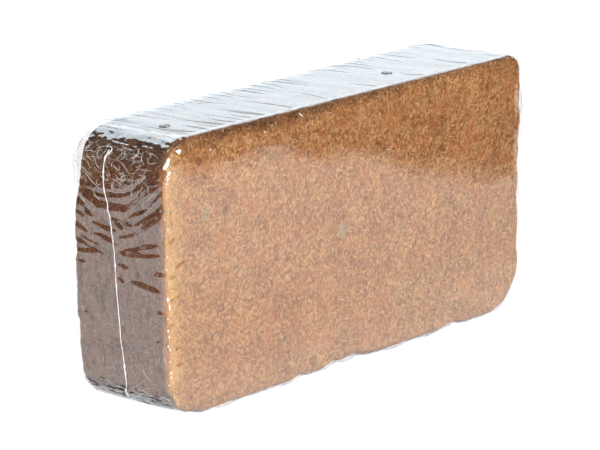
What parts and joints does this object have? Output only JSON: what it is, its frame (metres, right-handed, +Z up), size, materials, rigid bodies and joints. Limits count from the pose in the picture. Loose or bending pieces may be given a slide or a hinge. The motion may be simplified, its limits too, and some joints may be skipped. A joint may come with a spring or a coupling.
{
  "type": "coconut coir bale",
  "caption": "Rectangular pressed brick of coconut coir with rounded corners, sealed in clear shrink film, standing on its long edge.",
  "frame": {"origin": "middle of the base that the bale stands on", "axes": "+X along the bale's length, +Y through its thickness from the broad face seen first to the one behind, +Z up"},
  "size_m": [0.206, 0.0466, 0.1024],
  "materials": {
    "coir": "dry pressed fibre and pith, matt and crumbly",
    "film": "clear glossy shrink film, wrinkled"
  },
  "bodies": {
    "root": {"coir_bale": "coir", "shrink_film": "film"}
  },
  "joints": []
}
